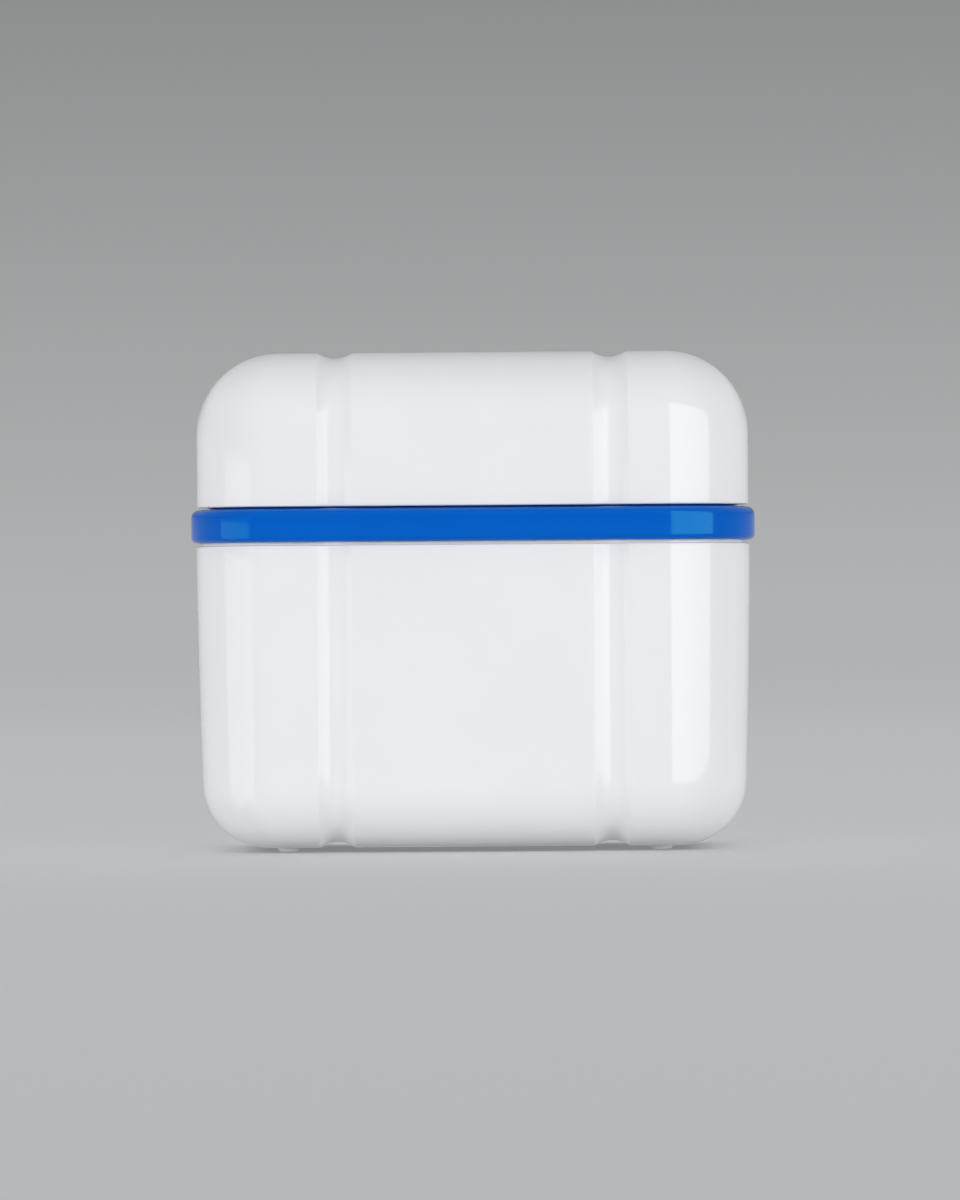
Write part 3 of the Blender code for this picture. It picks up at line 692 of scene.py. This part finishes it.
def make_basket(materials):
    """The blue drain basket: rounded walls, rolled flange and round-ended slots."""
    bm = bmesh.new()
    along = stations(False)
    fillet_z = BASKET_LOW + BASKET_FILLET
    foot = BASKET_TAPER * (BASKET_TOP - fillet_z)
    loops = []
    for angle in even(-90, 0, 8):
        lean = math.radians(angle)
        offset = BASKET_OUT - foot - BASKET_FILLET * (1 - math.cos(lean))
        loops.append(add_level(bm, along, offset, fillet_z + BASKET_FILLET * math.sin(lean)))
    under = LEDGE_Z + GAP
    loops.append(add_level(bm, along, BASKET_OUT, under))
    out = TONGUE_IN - GAP
    soft = RIM_ROUND
    loops += [add_level(bm, along, *point) for point in arc((out - soft, under + soft), soft, -90, 0, 3)]
    loops += [add_level(bm, along, *point) for point in arc((out - soft, BASKET_TOP - soft), soft, 0, 90, 3)]
    inside = BASKET_OUT - BASKET_WALL
    loops += [add_level(bm, along, *point)
              for point in arc((inside + soft, BASKET_TOP - soft), soft, 90, 180, 3)]
    inner_fillet = BASKET_FILLET - BASKET_WALL
    for angle in even(0, -90, 6):
        lean = math.radians(angle)
        offset = inside - foot - inner_fillet * (1 - math.cos(lean))
        loops.append(add_level(bm, along, offset, fillet_z + inner_fillet * math.sin(lean)))
    bridge(bm, loops)
    cap(bm, loops[0], along)
    cap(bm, loops[-1], along)
    slots = bmesh.new()
    for i in range(-3, 5):
        x = (i - 0.5) * SLOT_PITCH
        add_slot(slots, (x, CASE_Y, WALL_SLOT_Z), (SLOT_WIDTH, 4 * HALF_Y, WALL_SLOT_LENGTH), 1)
        add_slot(slots, (x, CASE_Y, BASKET_LOW), (SLOT_WIDTH, FLOOR_SLOT_LENGTH, 4 * BASKET_WALL), 2)
    side_slots = bmesh.new()
    for i in (-1, 0, 1):
        place = (0, CASE_Y + i * SLOT_PITCH, WALL_SLOT_Z)
        add_slot(side_slots, place, (4 * HALF_X, SLOT_WIDTH, WALL_SLOT_LENGTH), 0)
    bm = cut(bm, [slots, side_slots])
    add_piece("basket_blue", bm, [materials["basket"]], "tray", ["drain_basket"], sharp=30)


# ---------------------------------------------------------------- mouthguard

def arch_frame(angle):
    """Return the centre of the dental arch at an angle, and its outward direction."""
    turn = math.radians(angle)
    centre = Vector((ARCH_HALF_WIDTH * math.sin(turn), 0, -ARCH_LENGTH * math.cos(turn)))
    outwards = Vector((ARCH_LENGTH * math.sin(turn), 0, -ARCH_HALF_WIDTH * math.cos(turn))).normalized()
    return centre, outwards


def guard_section(width, outer, inner, wall, plate, rib, steps=4):
    """Return a trough section with rounded rims: (across, up) points. rib pares the outer face away."""
    half = width / 2
    corners = [(-half, 0), (half - rib, 0), (half - rib, outer), (half - wall, outer), (half - wall, plate),
               (-half + wall, plate), (-half + wall, inner), (-half, inner)]
    radii = (1.6 * MM, 2.0 * MM, wall, wall, 1.3 * MM, 1.3 * MM, wall, wall)
    rounded = []
    for i, (corner, radius) in enumerate(zip(corners, radii)):
        corner = Vector(corner)
        before = Vector(corners[i - 1]) - corner
        after = Vector(corners[(i + 1) % len(corners)]) - corner
        reach = min(radius, before.length * 0.49, after.length * 0.49)
        start = corner + before.normalized() * reach
        end = corner + after.normalized() * reach
        for j in range(steps + 1):
            t = j / steps
            rounded.append(start * (1 - t) ** 2 + corner * 2 * t * (1 - t) + end * t ** 2)
    return rounded


def end_drop(gap, radius):
    """How far a rounded end has come down at a distance from the very end."""
    if gap >= radius:
        return 0.0
    return radius - math.sqrt(radius ** 2 - (radius - gap) ** 2)


def make_guard_layer(name, inwards, lift, wall, material, rib_depth=0.0, bite_depth=0.0):
    """Loft one layer of the guard: tall at the lips, notched in the middle, rounded at the back teeth.

    Grip ribs run up the outer face at the front teeth, and the back teeth have softly dimpled the bite
    plate.
    """
    bm = bmesh.new()
    loops = []
    for angle in even(-90, -74, 20) + even(-74, 74, 148)[1:-1] + even(74, 90, 20):
        turn = math.radians(angle)
        front = math.cos(turn) ** 2
        gap = (math.pi / 2 - abs(turn)) * ARCH_LENGTH
        notch = math.exp(-(angle / NOTCH_SPREAD) ** 2)
        trim = lift + inwards / 2
        width = GUARD_WIDTH - FRONT_NARROWING * front - 2 * inwards - 2 * end_drop(gap, END_EDGE)
        outer = GUARD_OUTER_HEIGHT - NOTCH_DEPTH * notch - end_drop(gap, OUTER_END_RADIUS) - trim
        inner = GUARD_INNER_HEIGHT + FRONT_INNER_RISE * front - end_drop(gap, INNER_END_RADIUS) - trim
        ribbed = max(0.0, 1 - (angle / RIB_REACH) ** 4)
        rib = rib_depth * ribbed * (0.5 - 0.5 * math.cos(math.tau * angle / RIB_PITCH)) ** 2
        plate = wall + bite_depth * (0.5 + 0.5 * math.cos(math.tau * angle / BITE_PITCH)) * (1 - notch)
        centre, outwards = arch_frame(angle)
        loops.append([bm.verts.new(centre + outwards * point[0] + Vector((0, -lift - point[1], 0)))
                      for point in guard_section(width, outer, inner, wall, plate, rib)])
    bridge(bm, loops)
    bm.faces.new(loops[0])
    bm.faces.new(loops[-1])
    bmesh.ops.translate(bm, verts=bm.verts, vec=(0, CASE_Y + GUARD_OUTER_HEIGHT / 2, GUARD_TOP))
    add_piece(name, bm, [material], "mouthguard", [f"mouth{name}"], sharp=50)


# ---------------------------------------------------------------- studio

def add_area(name, location, facing, size, radiance, seen_by, not_lit=None):
    """Add a rectangular light facing a direction. seen_by is "diffuse" or "glossy"."""
    light = bpy.data.lights.new(name, "AREA")
    light.shape = "RECTANGLE"
    light.size = size[0]
    light.size_y = size[1]
    light.energy = radiance * math.pi * size[0] * size[1]
    lamp = bpy.data.objects.new(name, light)
    lamp.location = location
    lamp.rotation_euler = Vector(facing).to_track_quat("-Z", "Y").to_euler()
    lamp.visible_camera = False
    lamp.visible_diffuse = seen_by != "glossy"
    lamp.visible_transmission = seen_by != "glossy"
    lamp.visible_glossy = seen_by != "diffuse"
    if not_lit:
        lamp.light_linking.receiver_collection = not_lit
    bpy.context.scene.collection.objects.link(lamp)


def make_studio():
    """Pale floor and surroundings, fills, two near reflector cards, a rear and a top light, the camera."""
    scene = bpy.context.scene
    scene.view_settings.view_transform = "Standard"
    world = bpy.data.worlds.new("pale_room")
    world.use_nodes = True
    tree = world.node_tree
    background = tree.nodes["Background"]
    background.inputs["Strength"].default_value = ROOM
    direction = tree.nodes.new("ShaderNodeTexCoord")
    split = tree.nodes.new("ShaderNodeSeparateXYZ")
    ramp = tree.nodes.new("ShaderNodeValToRGB")
    stops = ramp.color_ramp.elements
    stops.new(FLAG_HEIGHT)
    for stop, height, share in zip(stops, (0.0, FLAG_HEIGHT, FLAG_TOP), (1.0, FLAG_SHADE, 1.0)):
        stop.position = height
        stop.color = (*(channel * share for channel in ROOM_TINT), 1.0)
    tree.links.new(direction.outputs["Generated"], split.inputs["Vector"])
    tree.links.new(split.outputs["Z"], ramp.inputs["Fac"])
    tree.links.new(ramp.outputs["Color"], background.inputs["Color"])
    scene.world = world
    bm = bmesh.new()
    bmesh.ops.create_circle(bm, cap_ends=True, segments=64, radius=FLOOR_RADIUS)
    floor = add_piece("floor", bm, [], None, None)
    floor.visible_glossy = False
    not_lit = bpy.data.collections.new("not_lit_by_fills")
    not_lit.objects.link(floor)
    not_lit.collection_objects[0].light_linking.link_state = "EXCLUDE"
    paint, _, shader = new_material("pale_floor")
    shader.inputs["Base Color"].default_value = (0.79, 0.795, 0.80, 1.0)
    shader.inputs["Roughness"].default_value = 0.9
    shader.inputs["Specular IOR Level"].default_value = 0.0
    shader.inputs["Emission Color"].default_value = (*ROOM_TINT, 1.0)
    shader.inputs["Emission Strength"].default_value = ROOM * FLOOR_GLOW
    floor.data.materials.append(paint)
    front = CASE_Y - HALF_Y
    middle = Vector((0, CASE_Y, (STAND + LID_TOP) / 2))
    for side in (-1, 1):
        place = middle + Vector((side * 0.79, -0.62, 0.04))
        add_area("fill", place, middle - place, (0.5, 0.4), 12.0, "diffuse", not_lit)
    place = middle + Vector((0, 1.0, 0.12))
    add_area("fill_rear", place, middle - place, (0.8, 0.4), 4.5, "diffuse", not_lit)
    add_area("card_right", (0.22, front - 0.181, 0.105), (0, 1, 0), (0.33, 0.24), 2.3, "glossy")
    add_area("card_left", (-0.25, front - 0.145, -0.04), (1, 0, 0), (0.23, 0.212), 1.2, "glossy")
    add_area("overhead", (0, 0.2, 1.3), (0, -0.1, -1), (1.2, 1.0), 0.36, "diffuse")
    camera_data = bpy.data.cameras.new("camera")
    camera_data.sensor_fit = "HORIZONTAL"
    camera_data.sensor_width = SENSOR_WIDTH
    camera_data.lens = SENSOR_WIDTH * CAMERA_DISTANCE / FRAME_WIDTH
    camera = bpy.data.objects.new("camera", camera_data)
    camera.location = (CAMERA_RIGHT, CASE_Y - CAMERA_DISTANCE, middle.z - CAMERA_DROP)
    camera.rotation_euler = (math.radians(90), math.radians(CAMERA_ROLL), 0)
    scene.collection.objects.link(camera)
    scene.camera = camera


MATERIALS = make_materials()
make_tub(MATERIALS)
make_lid(MATERIALS)
make_frame(MATERIALS)
make_hinge(MATERIALS)
make_feet(MATERIALS)
make_gaskets(MATERIALS)
make_basket(MATERIALS)
make_guard_layer("guard_shell", 0.0, 0.0, SHELL_WALL, MATERIALS["guard"],
                 rib_depth=RIB_DEPTH)
make_guard_layer("guard_liner", SHELL_WALL + GAP, SHELL_WALL + GAP, LINER_WALL, MATERIALS["liner"],
                 bite_depth=BITE_DEPTH)
make_studio()
